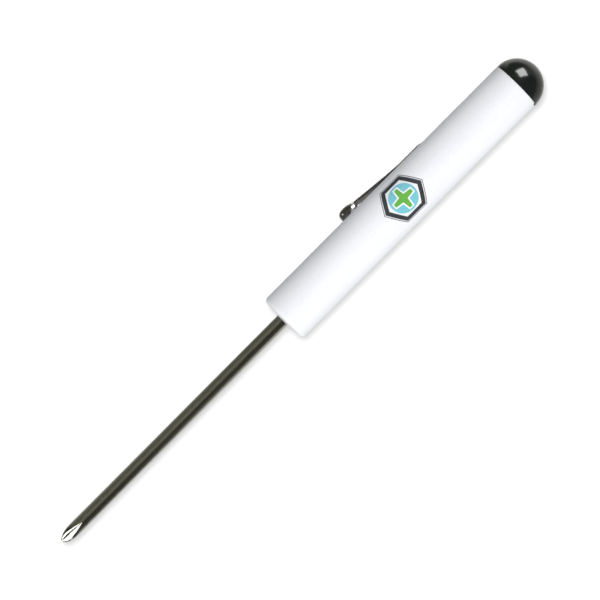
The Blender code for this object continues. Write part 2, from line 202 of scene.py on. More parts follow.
def block(low, high):
    """A box between two corners."""
    bm = bmesh.new()
    bmesh.ops.create_cube(bm, size=1.0)
    low = Vector(low)
    high = Vector(high)
    for vert in bm.verts:
        vert.co = Vector(l + (c + 0.5) * (h - l) for l, h, c in zip(low, high, vert.co))
    return bm


def cut(target, tools, operation="DIFFERENCE", crease=30):
    """Apply exact Booleans and remove the tools. Cut faces take the tool's material."""
    for tool in tools:
        modifier = target.modifiers.new(tool.name, "BOOLEAN")
        modifier.object = tool
        modifier.operation = operation
        modifier.solver = "EXACT"
        modifier.material_mode = "TRANSFER"
    bpy.context.view_layer.update()
    evaluated = target.evaluated_get(bpy.context.evaluated_depsgraph_get())
    mesh = bpy.data.meshes.new_from_object(evaluated)
    target.modifiers.clear()
    target.data = mesh
    mesh.shade_smooth()
    mesh.set_sharp_from_angle(angle=math.radians(crease))
    for tool in tools:
        bpy.data.objects.remove(tool, do_unlink=True)
    return target


def smooth_step(value, low, high):
    """0 below low, 1 above high, and smooth between them."""
    part = min(1.0, max(0.0, (value - low) / (high - low)))
    return part * part * (3 - 2 * part)


# ---------------------------------------------------------------- materials

def math_node(tree, operation, *values):
    """The result of a math node. Each value is a number or another node's output."""
    node = tree.nodes.new("ShaderNodeMath")
    node.operation = operation
    for slot, value in zip(node.inputs, values):
        if isinstance(value, (int, float)):
            slot.default_value = value
        else:
            tree.links.new(value, slot)
    return node.outputs[0]


def mix_node(tree, factor, first, second, kind="MIX"):
    """A colour between two colours. With kind ADD it is the first plus a share of the second."""
    node = tree.nodes.new("ShaderNodeMix")
    node.data_type = "RGBA"
    node.blend_type = kind
    tree.links.new(factor, node.inputs["Factor"])
    colour_slots = node.inputs[6:8]
    for slot, value in zip(colour_slots, (first, second)):
        if isinstance(value, tuple):
            slot.default_value = (*value, 1.0)
        else:
            tree.links.new(value, slot)
    return node.outputs[2]


class Nodes:
    """Shorthand for building a node material in object coordinates, measured in millimetres."""

    def __init__(self, name):
        self.material = bpy.data.materials.new(name)
        self.material.use_nodes = True
        self.tree = self.material.node_tree
        self.shader = self.tree.nodes["Principled BSDF"]
        coordinates = self.tree.nodes.new("ShaderNodeTexCoord")
        to_mm = self.tree.nodes.new("ShaderNodeVectorMath")
        to_mm.operation = "SCALE"
        to_mm.inputs["Scale"].default_value = 1 / MM
        self.link(coordinates.outputs["Object"], to_mm.inputs[0])
        self.place = to_mm.outputs[0]

    def link(self, source, target):
        self.tree.links.new(source, target)

    def set(self, **values):
        for key, value in values.items():
            self.shader.inputs[key.replace("_", " ")].default_value = value

    def stretched(self, scale):
        """The place multiplied by a vector: a large number gives fine detail along that axis."""
        node = self.tree.nodes.new("ShaderNodeVectorMath")
        node.operation = "MULTIPLY"
        node.inputs[1].default_value = scale
        self.link(self.place, node.inputs[0])
        return node.outputs[0]

    def axes(self, place):
        """The X, Y and Z of a place, in millimetres."""
        parts = self.tree.nodes.new("ShaderNodeSeparateXYZ")
        self.link(place, parts.inputs[0])
        return parts.outputs

    def noise(self, scale, detail=3.0, roughness=0.5):
        node = self.tree.nodes.new("ShaderNodeTexNoise")
        node.inputs["Scale"].default_value = 1.0
        node.inputs["Detail"].default_value = detail
        node.inputs["Roughness"].default_value = roughness
        self.link(self.stretched(scale), node.inputs["Vector"])
        return node.outputs["Fac"]

    def voronoi(self, scale):
        node = self.tree.nodes.new("ShaderNodeTexVoronoi")
        node.inputs["Scale"].default_value = 1.0
        self.link(self.stretched(scale), node.inputs["Vector"])
        return node.outputs["Distance"]

    def spread(self, source, low, high, to_low, to_high):
        """Map one range of values to another, held level beyond its ends."""
        node = self.tree.nodes.new("ShaderNodeMapRange")
        for name, value in (("From Min", low), ("From Max", high), ("To Min", to_low), ("To Max", to_high)):
            node.inputs[name].default_value = value
        self.link(source, node.inputs["Value"])
        return node.outputs["Result"]

    def math(self, operation, *values):
        return math_node(self.tree, operation, *values)

    def mix(self, factor, first, second):
        return mix_node(self.tree, factor, first, second)

    def bump(self, height, distance_mm, strength=1.0):
        node = self.tree.nodes.new("ShaderNodeBump")
        node.inputs["Strength"].default_value = strength
        node.inputs["Distance"].default_value = distance_mm * MM
        self.link(height, node.inputs["Height"])
        self.link(node.outputs["Normal"], self.shader.inputs["Normal"])


def white_plastic():
    """Moulded white barrel: satin gloss with faint flow variation, handling marks and fine scuffs."""
    n = Nodes("white_plastic")
    flow = n.noise((0.05, 0.35, 0.35), 2.0)
    scuffs = n.noise((0.6, 9.0, 9.0), 4.0, 0.7)
    grain = n.noise((7.0, 7.0, 7.0), 2.0)
    mottle = n.noise((2.2, 2.2, 2.2), 3.0, 0.7)
    tone = n.math("ADD", n.math("MULTIPLY", flow, 0.35), n.math("MULTIPLY", mottle, 0.65))
    white = n.mix(n.spread(tone, 0.38, 0.62, 0, 1), (0.842, 0.850, 0.884), (0.896, 0.904, 0.930))
    n.link(white, n.shader.inputs["Base Color"])
    rough = n.math("ADD", n.spread(scuffs, 0.45, 0.75, 0.28, 0.44), n.spread(flow, 0.3, 0.7, 0.0, 0.06))
    n.link(rough, n.shader.inputs["Roughness"])
    n.bump(n.math("ADD", grain, n.math("MULTIPLY", scuffs, 0.6)), 0.006, 0.4)
    n.set(IOR=1.49)
    return n.material


def black_plastic():
    """Moulded black button: polished, with a faint orange peel and dust-fine scratches."""
    n = Nodes("black_plastic")
    peel = n.noise((1.6, 1.6, 1.6), 1.5)
    scratches = n.noise((1.5, 14.0, 3.0), 4.0, 0.7)
    dust = n.voronoi((2.6, 2.6, 2.6))
    specks = n.spread(dust, 0.03, 0.07, 1.0, 0.0)
    n.link(n.mix(specks, (0.0105, 0.0125, 0.0115), (0.05, 0.052, 0.05)), n.shader.inputs["Base Color"])
    rough = n.math("ADD", n.spread(scratches, 0.5, 0.8, 0.15, 0.24), n.spread(specks, 0, 1, 0.0, 0.25))
    n.link(rough, n.shader.inputs["Roughness"])
    n.bump(peel, 0.012, 0.35)
    n.set(IOR=1.5)
    return n.material


def plated_shaft():
    """Nickel plate over drawn steel: fine drawing lines along the shaft, soft blotches, and a darker colour
    near the point.
    """
    n = Nodes("plated_shaft")
    lines = n.noise((0.06, 11.0, 11.0), 3.0, 0.65)
    blotches = n.noise((0.8, 1.6, 1.6), 3.0, 0.6)
    nicks = n.voronoi((0.8, 2.2, 2.2))
    streaks = n.math("ADD", n.math("MULTIPLY", lines, 0.6), n.math("MULTIPLY", blotches, 0.4))
    tone = n.mix(n.spread(streaks, 0.36, 0.64, 0, 1), (0.46, 0.455, 0.41), (0.66, 0.65, 0.605))
    plate = n.mix(n.spread(nicks, 0.02, 0.05, 1, 0), tone, (0.3, 0.28, 0.24))
    # The colour turns darker over the last few millimetres at the point, with a ragged edge
    ragged_x = n.math("ADD", n.axes(n.place)["X"], n.math("MULTIPLY", blotches, 1.2))
    darker_near_point = n.spread(ragged_x, 3.6, 5.0, 1, 0)
    n.link(n.mix(darker_near_point, plate, (0.22, 0.215, 0.195)), n.shader.inputs["Base Color"])
    rough = n.math("ADD", n.spread(lines, 0.35, 0.7, 0.07, 0.12), n.spread(blotches, 0.4, 0.7, 0.0, 0.05))
    n.link(rough, n.shader.inputs["Roughness"])
    n.bump(n.math("ADD", lines, n.math("MULTIPLY", blotches, 0.5)), 0.007, 0.5)
    n.set(Metallic=1.0)
    return n.material


def flute_root_painted_shade(n):
    """Painted shade: darkens the roots of the flutes, near the point only."""
    turn = n.tree.nodes.new("ShaderNodeVectorRotate")
    turn.rotation_type = "X_AXIS"
    turn.inputs["Angle"].default_value = -FLUTE_TURN
    n.link(n.place, turn.inputs["Vector"])
    parts = n.axes(turn.outputs[0])

    # How far a place is from the nearest root, which the skewed cut carries sideways
    drift = n.math("MULTIPLY", n.math("SUBTRACT", parts["X"], FLUTE_LENGTH), math.tan(FLUTE_SKEW))
    sides = []
    for own, other, sign in (("Y", "Z", -1), ("Z", "Y", 1)):
        facing = n.math("MULTIPLY", n.math("SIGN", parts[other]), sign)
        line = n.math("MULTIPLY", drift, facing)
        sides.append(n.math("ABSOLUTE", n.math("ADD", parts[own], line)))
    ragged = n.spread(n.noise((3.0, 6.0, 6.0), 3.0), 0.3, 0.7, 0.75, 1.3)
    beside = n.math("MULTIPLY", n.math("MINIMUM", *sides), ragged)

    # Painted shade: the colour turns dark close to each root
    dark = n.spread(beside, 0.10, 0.22, 1.0, 0.0)
    start = n.spread(parts["X"], 0.4, 0.9, 0.0, 1.0)
    end = n.spread(parts["X"], 2.1, 2.8, 1.0, 0.0)
    return n.math("MULTIPLY", dark, n.math("MULTIPLY", start, end))


def ground_steel():
    """Freshly ground faces of the points: bright bare steel with grinding lines along the cut, and painted
    shade in the flute roots near the point.
    """
    n = Nodes("ground_steel")
    lines = n.noise((0.7, 26.0, 26.0), 3.0, 0.6)
    chatter = n.noise((5.0, 1.0, 1.0), 2.0, 0.5)
    bright = n.mix(n.spread(lines, 0.3, 0.7, 0, 1), (0.82, 0.815, 0.77), (0.92, 0.92, 0.88))
    # The flute roots near the point are darkened with painted shade
    n.link(n.mix(flute_root_painted_shade(n), bright, (0.10, 0.095, 0.08)), n.shader.inputs["Base Color"])
    rough = n.math("ADD", n.spread(lines, 0.3, 0.7, 0.24, 0.36), n.spread(chatter, 0.4, 0.6, 0.0, 0.05))
    n.link(rough, n.shader.inputs["Roughness"])
    n.bump(n.math("ADD", lines, n.math("MULTIPLY", chatter, 0.4)), 0.008, 0.5)
    n.set(Metallic=1.0)
    return n.material


def spring_steel():
    """Dark-plated spring strip: smoky metal, rolling lines along it, and a painted highlight band where the
    ball starts.
    """
    n = Nodes("spring_steel")
    rolling = n.noise((0.25, 9.0, 9.0), 3.0, 0.6)
    smoke = n.noise((0.7, 0.9, 0.9), 3.0, 0.6)

    # A painted highlight: a bright band crosses the back of the ball at a slant
    parts = n.axes(n.place)
    band_x = BALL_X + 1.25
    band_y = BARREL_R + 0.15
    band_slant = 0.97
    lean = n.math("MULTIPLY", n.math("SUBTRACT", parts["Y"], band_y), band_slant)
    from_band = n.math("ABSOLUTE", n.math("SUBTRACT", n.math("SUBTRACT", parts["X"], lean), band_x))
    painted_neck_highlight = n.math("MULTIPLY", n.spread(from_band, 0.35, 0.5, 1.0, 0.0), n.spread(smoke, 0.3, 0.5, 0.8, 1.0))

    tone = n.mix(n.spread(smoke, 0.35, 0.7, 0, 1), (0.20, 0.193, 0.19), (0.28, 0.268, 0.262))
    # The band's near-white colour is the painted highlight
    n.link(n.mix(painted_neck_highlight, tone, (0.93, 0.92, 0.90)), n.shader.inputs["Base Color"])
    rough = n.math("ADD", n.spread(rolling, 0.3, 0.7, 0.16, 0.26), n.spread(smoke, 0.4, 0.7, 0.0, 0.06))
    n.link(rough, n.shader.inputs["Roughness"])
    n.bump(n.math("ADD", rolling, smoke), 0.006, 0.4)
    n.set(Metallic=1.0)
    return n.material


def rivet_plate():
    """Nickel-plated rivet with the small dents left by the peening tool."""
    n = Nodes("rivet_plate")
    dents = n.noise((2.6, 2.6, 2.6), 2.0)
    fine = n.noise((12.0, 12.0, 12.0), 3.0)
    n.link(n.mix(fine, (0.24, 0.235, 0.23), (0.34, 0.33, 0.32)), n.shader.inputs["Base Color"])
    n.link(n.spread(fine, 0.3, 0.7, 0.18, 0.34), n.shader.inputs["Roughness"])
    n.bump(n.math("ADD", dents, n.math("MULTIPLY", fine, 0.3)), 0.03, 0.5)
    n.set(Metallic=1.0)
    return n.material


def insert_steel():
    """Sintered steel insert: slightly grainy, with turned marks in its bore."""
    n = Nodes("insert_steel")
    grain = n.noise((9.0, 9.0, 9.0), 4.0, 0.7)
    turns = n.noise((22.0, 0.4, 0.4), 2.0)
    n.link(n.mix(grain, (0.34, 0.34, 0.345), (0.5, 0.5, 0.5)), n.shader.inputs["Base Color"])
    n.link(n.spread(grain, 0.3, 0.7, 0.34, 0.5), n.shader.inputs["Roughness"])
    n.bump(n.math("ADD", grain, turns), 0.012, 0.5)
    n.set(Metallic=1.0)
    return n.material


def ring_steel():
    """Oiled spring ring: dark, smooth, with drawing lines round it."""
    n = Nodes("ring_steel")
    lines = n.noise((14.0, 2.0, 2.0), 3.0)
    oil = n.noise((1.2, 1.2, 1.2), 2.0)
    n.link(n.mix(oil, (0.22, 0.215, 0.2), (0.36, 0.355, 0.34)), n.shader.inputs["Base Color"])
    n.link(n.spread(lines, 0.3, 0.7, 0.2, 0.32), n.shader.inputs["Roughness"])
    n.bump(lines, 0.006, 0.5)
    n.set(Metallic=1.0)
    return n.material


def ink(name, colour, deep):
    """Pad-printed ink: a thin film with slight mottling and a soft sheen."""
    n = Nodes(name)
    mottle = n.noise((5.0, 5.0, 5.0), 4.0, 0.65)
    n.link(n.mix(n.spread(mottle, 0.35, 0.7, 0, 1), colour, deep), n.shader.inputs["Base Color"])
    n.link(n.spread(mottle, 0.3, 0.7, 0.38, 0.5), n.shader.inputs["Roughness"])
    n.bump(mottle, 0.003, 0.4)
    return n.material


WHITE = white_plastic()
BLACK = black_plastic()
SHAFT = plated_shaft()
GROUND = ground_steel()
SPRING = spring_steel()
RIVET = rivet_plate()
INSERT = insert_steel()
RING = ring_steel()
INK_DARK = ink("ink_charcoal", (0.030, 0.034, 0.042), (0.045, 0.049, 0.058))
INK_BLUE = ink("ink_sky_blue", (0.175, 0.545, 0.640), (0.205, 0.590, 0.680))
INK_GREEN = ink("ink_leaf_green", (0.120, 0.430, 0.050), (0.160, 0.480, 0.070))
INK_WHITE = ink("ink_white", (0.86, 0.88, 0.90), (0.90, 0.91, 0.93))


# ---------------------------------------------------------------- barrel

def flat_radius(x, angle):
    """Radius of the barrel's skin at a place, with the flat under the clip's foot."""
    flat_at = math.atan2(CLIP_OUT.z, CLIP_OUT.y)
    turn = math.cos(angle - flat_at)
    if turn <= 0:
        return BARREL_R
    inside = smooth_step(x, CLIP_FLAT_START_X - SKIN_EDGE, CLIP_FLAT_START_X + SKIN_EDGE)
    inside *= 1 - smooth_step(x, CLIP_FLAT_END_X - SKIN_EDGE, CLIP_FLAT_END_X + SKIN_EDGE)
    depth = max(0.0, BARREL_R - CLIP_FLAT_R / turn)
    return BARREL_R - depth * inside


def make_barrel():
    """The white tube: rounded nose, straight skin with the clip's flat, fine edge at the rim, bore."""
    corner_x = NOSE_X + NOSE_CROWN + NOSE_CORNER
    corner_r = BARREL_R - NOSE_CORNER
    face_r = HOLE_R + 0.3
    flat_share = 0.25
    nose = [(NOSE_X + 0.12, HOLE_R), (NOSE_X + 0.03, HOLE_R + 0.05), (NOSE_X, HOLE_R + 0.14)]
    for step in range(9):
        part = step / 8
        crown_part = max(0.0, (part - flat_share) / (1 - flat_share))
        nose.append((NOSE_X + NOSE_CROWN * crown_part ** 2, face_r + part * (corner_r - face_r)))
    nose += arc(corner_x, corner_r, NOSE_CORNER, 180, 90, 14)[1:]

    # Rings close together where the skin steps down to the clip's flat and up again
    stations = [corner_x + 6, CLIP_FLAT_START_X - 3]
    for centre in (CLIP_FLAT_START_X, CLIP_FLAT_END_X):
        stations += [centre - SKIN_EDGE * 1.2 + SKIN_EDGE * 2.4 * k / 8 for k in range(9)]
    stations += [CLIP_FLAT_END_X + 3, RIM_X - 5]
    skin_points = [(x, BARREL_R) for x in stations]
    skin_start = len(nose)
    rim = arc(RIM_X - 0.1, BARREL_R - 0.1, 0.1, 90, 0, 5)
    bore = [(RIM_X, BORE_R + 0.3), (RIM_X - 0.3, BORE_R), (POCKET_END_X, BORE_R), (POCKET_END_X, HOLE_R)]
    outline = nose + skin_points + rim + bore

    bm = bmesh.new()
    loops = []
    for index, (x, radius) in enumerate(outline):
        on_skin = skin_start <= index < skin_start + len(skin_points)
        loop = []
        for k in range(ROUND_SEGMENTS):
            angle = 2 * math.pi * k / ROUND_SEGMENTS
            r = flat_radius(x, angle) if on_skin else radius
            loop.append(bm.verts.new((x, r * math.cos(angle), r * math.sin(angle))))
        loops.append(loop)
    skin(bm, loops + [loops[0]], close_ends=False)
    barrel = finish_mesh("barrel_skin", bm, [WHITE], 24)

    slot_half_width = EAR_SPAN / 2 + CLEARANCE
    slot_half_height = 0.9
    ear_slot = block((NOSE_X - 1, -slot_half_width, -slot_half_height),
                     (insert_low.x, slot_half_width, slot_half_height))
    upright = [edge for edge in ear_slot.edges if abs(edge.verts[0].co.x - edge.verts[1].co.x) > 1]
    bmesh.ops.bevel(ear_slot, geom=upright, offset=0.15, segments=3, profile=0.5, affect="EDGES")
    hexagon = bmesh.new()
    corners = hexagon_points(POCKET_FLATS / math.sqrt(3))
    skin(hexagon, [[hexagon.verts.new((x, y, z)) for y, z in corners]
                   for x in (NOSE_X + NOSE_WALL, POCKET_END_X + 1)])
    return cut(barrel, [finish_mesh("slot_tool", ear_slot, [WHITE]),
                        finish_mesh("pocket_tool", hexagon, [WHITE])], crease=24)


# ---------------------------------------------------------------- button top

def add_flash(bm):
    """A thin tongue of moulding flash that laps over the barrel's edge on the -Y side."""
    turn = 77
    inner_r = 6.06
    sections = ((0.6, 6.14, 14), (0.15, 6.22, 13), (-0.2, 6.24, 11), (-0.46, 6.19, 6))
    loops = []
    for x, outer_r, half_angle in sections:
        loop = []
        for radius, direction in ((inner_r, -1), (outer_r, 1)):
            for k in range(-4, 5):
                angle = math.radians(turn + direction * half_angle * k / 4)
                loop.append(bm.verts.new((RIM_X + x, -radius * math.sin(angle), radius * math.cos(angle))))
        loops.append(loop)
    skin(bm, loops)


def make_button():
    """The black dome: a hemisphere with a fine shadow line at its rim, on its spigot."""
    start_x = RIM_X + 0.03
    centre_x = DOME_X - BARREL_R
    chamfer = 0.4
    hollow_r = 2.5
    hollow_round = 0.8
    hollow_x = centre_x + 2.4
    outline = [(DOME_X, 0.0)] + arc(centre_x, 0, BARREL_R, 0, 88.5, 48)[1:]
    outline += [(start_x + 0.02, BARREL_R - 0.03), (start_x, BARREL_R - 0.1), (start_x, SPIGOT_R)]
    outline += [(SPIGOT_X + chamfer, SPIGOT_R), (SPIGOT_X, SPIGOT_R - chamfer), (SPIGOT_X, hollow_r)]
    outline += [(hollow_x, hollow_r)] + arc(hollow_x, hollow_r - hollow_round, hollow_round, 90, 0, 6)[1:]
    outline += [(hollow_x + hollow_round, 0.0)]
    bm = turned(outline, ROUND_SEGMENTS)
    add_flash(bm)
    return finish_mesh("button_dome", bm, [BLACK], 30)


# ---------------------------------------------------------------- blade

def flute_tool(index):
    """A V with a small root radius that runs out along the point."""
    slope = (BLADE_R - FLUTE_CORE) / FLUTE_LENGTH
    swing = math.pi / 2 - FLUTE_HALF_ANGLE
    centre = FLUTE_ROOT_R / math.sin(FLUTE_HALF_ANGLE)
    height = 3.0
    width = height * math.tan(FLUTE_HALF_ANGLE)
    bm = bmesh.new()
    loops = []
    for x in (-1.0, FLUTE_LENGTH + 1.5):
        base = FLUTE_CORE + slope * x
        points = []
        for step in range(7):
            angle = -swing + 2 * swing * step / 6
            points.append((FLUTE_ROOT_R * math.sin(angle), base + centre - FLUTE_ROOT_R * math.cos(angle)))
        points += [(width, base + height), (-width, base + height)]
        loops.append([bm.verts.new((x, y, z)) for y, z in points])
    skin(bm, loops)
    skew = Matrix.Rotation(FLUTE_SKEW, 3, "Z")
    bmesh.ops.rotate(bm, cent=(FLUTE_LENGTH, 0, 0), matrix=skew, verts=bm.verts)
    turn = math.radians(90 * index) + FLUTE_TURN
    bmesh.ops.rotate(bm, cent=(0, 0, 0), matrix=Matrix.Rotation(turn, 3, "X"), verts=bm.verts)
    return finish_mesh("flute_tool_%d" % index, bm, [GROUND])


def flat_tool(side):
    """A wedge with a hollow-ground face that thins one side of the slotted end."""
    start_x = BLADE_LENGTH - SLOTTED_LENGTH
    outside = 3.0       # clear of the shaft, both across and outwards
    bm = bmesh.new()
    low = []
    for step in range(13):
        part = step / 12
        depth = (BLADE_R - SLOTTED_HALF_TIP) * min(1.1, part * 1.1) ** 0.8
        low.append((start_x + part * (SLOTTED_LENGTH + 1), BLADE_R - depth))
    loops = []
    for y in (-outside, outside):
        points = low + [(BLADE_LENGTH + 1, outside), (start_x, outside)]
        loops.append([bm.verts.new((x, y, z * side)) for x, z in points])
    skin(bm, loops)
    return finish_mesh("flat_tool_%d" % side, bm, [GROUND])


def make_blade():
    """The double-ended blade, its ground faces in their own material."""
    chamfer = 0.2
    rounded_point = [(0, 0), (0, 0.36), (0.04, 0.42), (0.45, 0.80),
                     (0.9, 1.13), (1.4, 1.38), (1.9, 1.52), (2.3, 1.575)]
    # Rings beside the point, the ears and the slotted end keep the shading of the long faces even
    ring_places = (2.8, 3.3, 9.0, 69.0, 78.0, BLADE_LENGTH - 15, BLADE_LENGTH - 10)
    outline = rounded_point + [(x, BLADE_R) for x in ring_places]
    outline += [(BLADE_LENGTH - chamfer, BLADE_R), (BLADE_LENGTH, BLADE_R - chamfer), (BLADE_LENGTH, 0)]
    blade = finish_mesh("blade_shaft", turned(outline, 96), [SHAFT, GROUND], 24)
    middle = BLADE_LENGTH / 2
    ears = block((middle - EAR_HALF_LENGTH, -EAR_SPAN / 2, -EAR_HALF_THICKNESS),
                 (middle + EAR_HALF_LENGTH, EAR_SPAN / 2, EAR_HALF_THICKNESS))
    bmesh.ops.bevel(ears, geom=ears.edges[:], offset=0.25, segments=3, profile=0.5, affect="EDGES")
    cut(blade, [finish_mesh("ears_tool", ears, [SHAFT])], "UNION", 24)
    tools = [flute_tool(index) for index in range(4)] + [flat_tool(side) for side in (1, -1)]
    return cut(blade, tools, crease=24)


# ---------------------------------------------------------------- clip and rivet

def clip_centre(x):
    """Distance of the strip's middle from the barrel's axis."""
    reach = min(max(0.0, HINGE.x - x), HINGE.x - NECK_X)
    arm = CLIP_MID + CLIP_SLOPE * reach + CLIP_BOW * reach * reach
    into_ball = 1 - smooth_step(x, NECK_X - 1.3, NECK_X + 0.35)
    return arm * (1 - into_ball) + BALL_OFFSET * into_ball


def clip_section(x):
    """Half width, half thickness and squareness of the clip's section at a place along it."""
    half_thick = CLIP_THICKNESS / 2
    part = min(1.0, max(0.0, (HINGE.x - x) / (HINGE.x - NECK_X)))
    half_wide = (CLIP_ROOT_WIDTH + part * (CLIP_NECK_WIDTH - CLIP_ROOT_WIDTH)) / 2
    from_end = root_high.x - x
    if from_end < CLIP_CORNER:
        half_wide += -CLIP_CORNER + math.sqrt(max(0.0, CLIP_CORNER ** 2 - (CLIP_CORNER - from_end) ** 2))
    reach = BALL_HALF_LENGTH if x < BALL_X else BALL_TAIL
    offset = abs(x - BALL_X) / reach
    ball = BALL_R * max(0.0, 1 - offset ** BALL_POWER) ** (1 / BALL_POWER)
    if x < BALL_X:
        return ball, ball, 2.0
    round_part = smooth_step(ball, 0.15, 0.95)
    wide = (half_wide ** 4 + ball ** 4) ** 0.25
    thick = (half_thick ** 4 + ball ** 4) ** 0.25
    return wide, thick, 7.0 - 5.0 * round_part


def clip_loop(bm, x, count=40):
    """One closed section of the clip, a rounded rectangle that turns into a circle at the ball."""
    half_wide, half_thick, power = clip_section(x)
    step = 0.02
    slope = (clip_centre(x - step) - clip_centre(x + step)) / (2 * step)
    if x < NECK_X - 0.5:
        slope *= smooth_step(x, BALL_X, NECK_X - 0.5)
    normal = (CLIP_OUT + Vector((1, 0, 0)) * slope).normalized()
    centre = Vector((x, 0, 0)) + CLIP_OUT * clip_centre(x)
    loop = []
    for k in range(count):
        angle = 2 * math.pi * (k + 0.5) / count
        c, s = math.cos(angle), math.sin(angle)
        across = half_wide * math.copysign(abs(c) ** (2 / power), c)
        out = half_thick * math.copysign(abs(s) ** (2 / power), s)
        loop.append(bm.verts.new(centre + CLIP_ACROSS * across + normal * out))
    return loop


def make_clip():
    """The whole clip as one strip: riveted foot, sprung arm, neck and ball."""
    quarter = math.pi / 2
    corner_x = root_high.x - CLIP_CORNER
    arm_end_x = NECK_X + 0.3
    tail_x = BALL_X + BALL_TAIL
    places = [root_high.x - CLIP_CORNER * (1 - math.cos(quarter * k / 8)) for k in range(9)]
    places += [corner_x - (corner_x - HINGE.x) * k / 8 for k in range(1, 9)]
    places += [HINGE.x - (HINGE.x - arm_end_x) * k / 24 for k in range(1, 25)]
    places += [arm_end_x - (arm_end_x - tail_x) * k / 14 for k in range(1, 15)]
    places += [BALL_X + BALL_TAIL * math.cos(quarter * k / 18) for k in range(1, 19)]
    places += [BALL_X - BALL_HALF_LENGTH * math.sin(quarter * k / 18) for k in range(1, 18)]
    bm = bmesh.new()
    skin(bm, [clip_loop(bm, x) for x in places])
    return finish_mesh("pocket_clip", bm, [SPRING], 40)


def make_rivet():
    """The rivet: a low dome outside, a shank through the wall and a peened tail inside."""
    head = CLIP_MID + CLIP_THICKNESS / 2 + 0.02
    tail = BORE_R - 0.05
    rim = 0.1
    outline = [(tail - 0.45, 0), (tail - 0.45, 0.9), (tail - 0.3, 1.1), (tail, 1.15), (tail, RIVET_SHANK_R),
               (head, RIVET_SHANK_R), (head, RIVET_HEAD_R - rim), (head + rim, RIVET_HEAD_R)]
    for step in range(1, 12):
        angle = math.pi / 2 * step / 12
        outline.append((head + rim + (RIVET_HEAD_HEIGHT - rim) * math.sin(angle),
                        RIVET_HEAD_R * math.cos(angle)))
    outline.append((head + RIVET_HEAD_HEIGHT, 0))
    bm = turned(outline, 64)
    turn = Vector((1, 0, 0)).rotation_difference(CLIP_OUT).to_matrix()
    bmesh.ops.rotate(bm, cent=(0, 0, 0), matrix=turn, verts=bm.verts)
    bmesh.ops.translate(bm, verts=bm.verts, vec=(RIVET_X, 0, 0))
    return finish_mesh("rivet_dome", bm, [RIVET], 35)


# ---------------------------------------------------------------- printed mark

def wrap(bm, inside, outside):
    """Wrap flat shapes round the barrel as a film between two heights over its skin.

    In the flat drawing +Y points round the barrel to the clip's side and +X along the tool.
    """
    faces = bm.faces[:]
    grown = bmesh.ops.extrude_face_region(bm, geom=faces)
    top = {item for item in grown["geom"] if isinstance(item, bmesh.types.BMVert)}
    for vert in bm.verts:
        radius = BARREL_R + (outside if vert in top else inside)
        angle = MARK_TURN - vert.co.y / BARREL_R
        vert.co = Vector((MARK_X + vert.co.x, radius * math.cos(angle), radius * math.sin(angle)))


def slice_across(bm, spacing=0.12):
    """Cut flat shapes into narrow strips, so that they can bend round the barrel."""
    reach = max(abs(vert.co.y) for vert in bm.verts)
    count = int(reach / spacing) + 1
    for k in range(-count, count + 1):
        geometry = bm.verts[:] + bm.edges[:] + bm.faces[:]
        bmesh.ops.bisect_plane(bm, geom=geometry, plane_co=(0, k * spacing, 0), plane_no=(0, 1, 0), dist=1e-5)


def film(name, polygons, material, height):
    """One ink film from flat polygons, its underside sunk a little into the barrel."""
    bm = bmesh.new()
    for polygon in polygons:
        bm.faces.new([bm.verts.new((x, y, 0)) for x, y in polygon])
    bmesh.ops.remove_doubles(bm, verts=bm.verts, dist=1e-4)
    slice_across(bm)
    wrap(bm, -0.01, height)
    return finish_mesh(name, bm, [material], 40)


def cross_polygon(reach, root, end):
    """A cross recess with tapered arms: reach of an arm, and half widths at its root and end."""
    points = []
    for k in range(4):
        turn = math.radians(90 * k)
        for x, y in ((reach, -end), (reach, end), (root, root)):
            points.append((x * math.cos(turn) - y * math.sin(turn), x * math.sin(turn) + y * math.cos(turn)))
    return points


def make_mark():
    """A generic badge: a hexagon nut round a disc with a cross slot. It holds no lettering."""
    fine_line = (6.0, 5.82)
    nut = (5.6, 4.45)
    rings = []
    for outer_r, inner_r in (fine_line, nut):
        outer = hexagon_points(outer_r)
        inner = hexagon_points(inner_r)
        for k in range(6):
            after = (k + 1) % 6
            rings.append([outer[k], outer[after], inner[after], inner[k]])
    disc_r = 3.5
    steps = 72
    turns = [2 * math.pi * k / steps for k in range(steps)]
    disc = [(disc_r * math.cos(turn), disc_r * math.sin(turn)) for turn in turns]
    edge = 0.3          # width of the white edge round the cross
    reach, root, end = 2.65, 0.68, 0.42
    cross = cross_polygon(reach, root, end)
    cross_edge = cross_polygon(reach + edge, root + edge, end + edge)
    return [
        film("print_hexagon", rings, INK_DARK, INK_FILM),
        film("print_disc", [disc], INK_BLUE, INK_FILM),
        film("print_cross_edge", [cross_edge], INK_WHITE, INK_FILM + INK_STEP),
        film("print_cross", [cross], INK_GREEN, INK_FILM + 2 * INK_STEP),
    ]


# ---------------------------------------------------------------- stage, light and camera

def make_stage():
    """A plain white table. It shows only to the camera; the world gives the object its bounce light."""
    half_width = 4000
    bm = bmesh.new()
    bmesh.ops.create_grid(bm, x_segments=1, y_segments=1, size=half_width)
    bmesh.ops.translate(bm, verts=bm.verts, vec=(DOME_X / 2, 0, FLOOR_Z))
    n = Nodes("white_table")
    n.shader.inputs["Base Color"].default_value = (0.35, 0.35, 0.35, 1)
    n.shader.inputs["Emission Color"].default_value = (1, 1, 0.995, 1)
    n.shader.inputs["Specular IOR Level"].default_value = 0.0
    n.set(Roughness=0.9)
    # The table glows more away from the tool, where the lights no longer reach it
    far = n.tree.nodes.new("ShaderNodeVectorMath")
    far.operation = "LENGTH"
    n.link(n.place, far.inputs[0])
    n.link(n.spread(far.outputs["Value"], 150, 700, 0.45, 0.95), n.shader.inputs["Emission Strength"])
    floor = finish_mesh("table", bm, [n.material])
    floor.visible_glossy = False
    floor.visible_diffuse = False
    return floor


